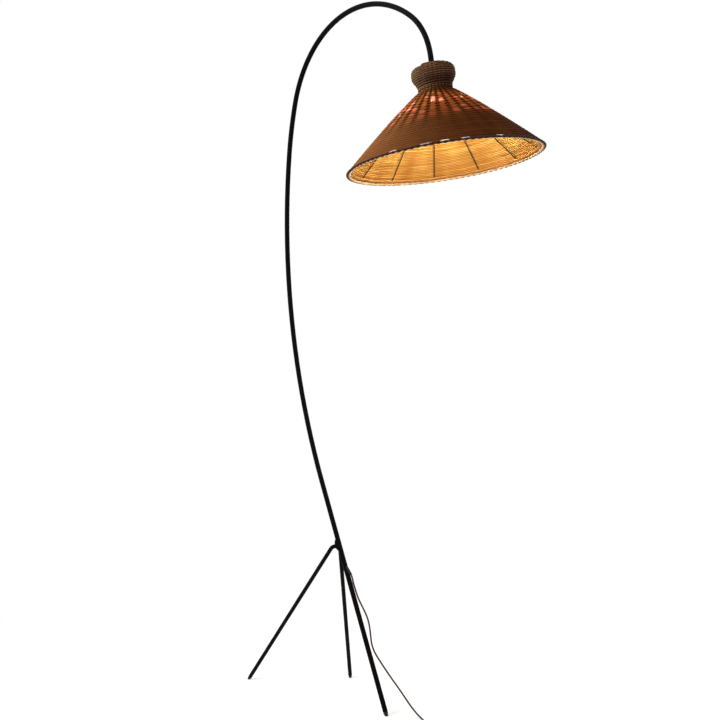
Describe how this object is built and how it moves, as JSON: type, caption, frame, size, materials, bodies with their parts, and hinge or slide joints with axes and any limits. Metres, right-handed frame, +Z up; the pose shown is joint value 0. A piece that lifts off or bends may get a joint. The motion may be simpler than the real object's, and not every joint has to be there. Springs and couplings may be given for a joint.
{
  "type": "rattan floor lamp",
  "caption": "Arched floor lamp: a bent black steel pole on three legs carries a woven rattan cone shade with a knob, a bulb, and a cord with switch and plug.",
  "frame": {"origin": "on the floor, under the middle of the box round the lamp without its free cord", "axes": "+Z up the lamp, +X the way the arch reaches over its front foot, +Y across the arch"},
  "size_m": [0.8072, 0.4322, 1.6599],
  "materials": {
    "black_metal": "satin",
    "dark_wire": "matte",
    "bare_steel": "satin",
    "brass": "satin",
    "aluminium": "satin",
    "rubber": "matte",
    "black_plastic": "matte",
    "ceramic": "gloss",
    "opal_glass": "satin",
    "rattan": "matte",
    "olive_rattan": "matte",
    "dark_rattan": "matte",
    "cord_sheath": "matte"
  },
  "bodies": {
    "lamp": {"pole": "black_metal", "rear_legs": "black_metal", "weld_left": "black_metal", "weld_right": "black_metal", "foot_front": "rubber", "foot_left": "rubber", "foot_back": "rubber", "cable_bush": "rubber", "inner_cable": "cord_sheath", "cone_weave": "rattan", "knob_weave": "olive_rattan", "stake_cage": "dark_rattan", "rim_border": "dark_rattan", "rim_ring": "dark_wire", "neck_ring": "dark_wire", "shade_carrier": "black_metal", "holder_cap": "black_plastic", "holder_skirt": "black_plastic", "holder_insert": "ceramic", "screw_shell": "brass", "centre_contact": "brass", "shade_ring": "black_plastic", "lock_nut": "bare_steel", "cord_drop": "cord_sheath", "cord_coil": "cord_sheath", "cord_tie": "rubber", "cord_link": "cord_sheath", "cord_tail": "cord_sheath", "switch_base": "black_plastic", "switch_cover": "black_plastic", "switch_screw_1": "bare_steel", "switch_screw_2": "bare_steel", "plug_body": "black_plastic", "plug_pin_1": "bare_steel", "plug_pin_2": "bare_steel", "plug_relief": "rubber", "rib_01": "dark_wire", "rib_02": "dark_wire", "rib_03": "dark_wire", "rib_04": "dark_wire", "rib_05": "dark_wire", "rib_06": "dark_wire", "rib_07": "dark_wire", "rib_08": "dark_wire", "rib_09": "dark_wire", "rib_10": "dark_wire", "rib_11": "dark_wire", "rib_12": "dark_wire"},
    "bulb": {"bulb_glass": "opal_glass", "bulb_cap": "aluminium", "bulb_tip": "brass"},
    "rocker": {"switch_rocker": "black_plastic"}
  },
  "joints": [
    {"name": "bulb_unscrews", "type": "slide", "parent": "lamp", "child": "bulb", "axis": [0.2147, 0, -0.9767], "range_m": [0, 0.026]},
    {"name": "rocker_tips", "type": "hinge", "parent": "lamp", "child": "rocker", "pos_m": [0.18493, -0.048, 0.0126], "axis": [-1, 0, 0], "range_deg": [0, 16]}
  ]
}
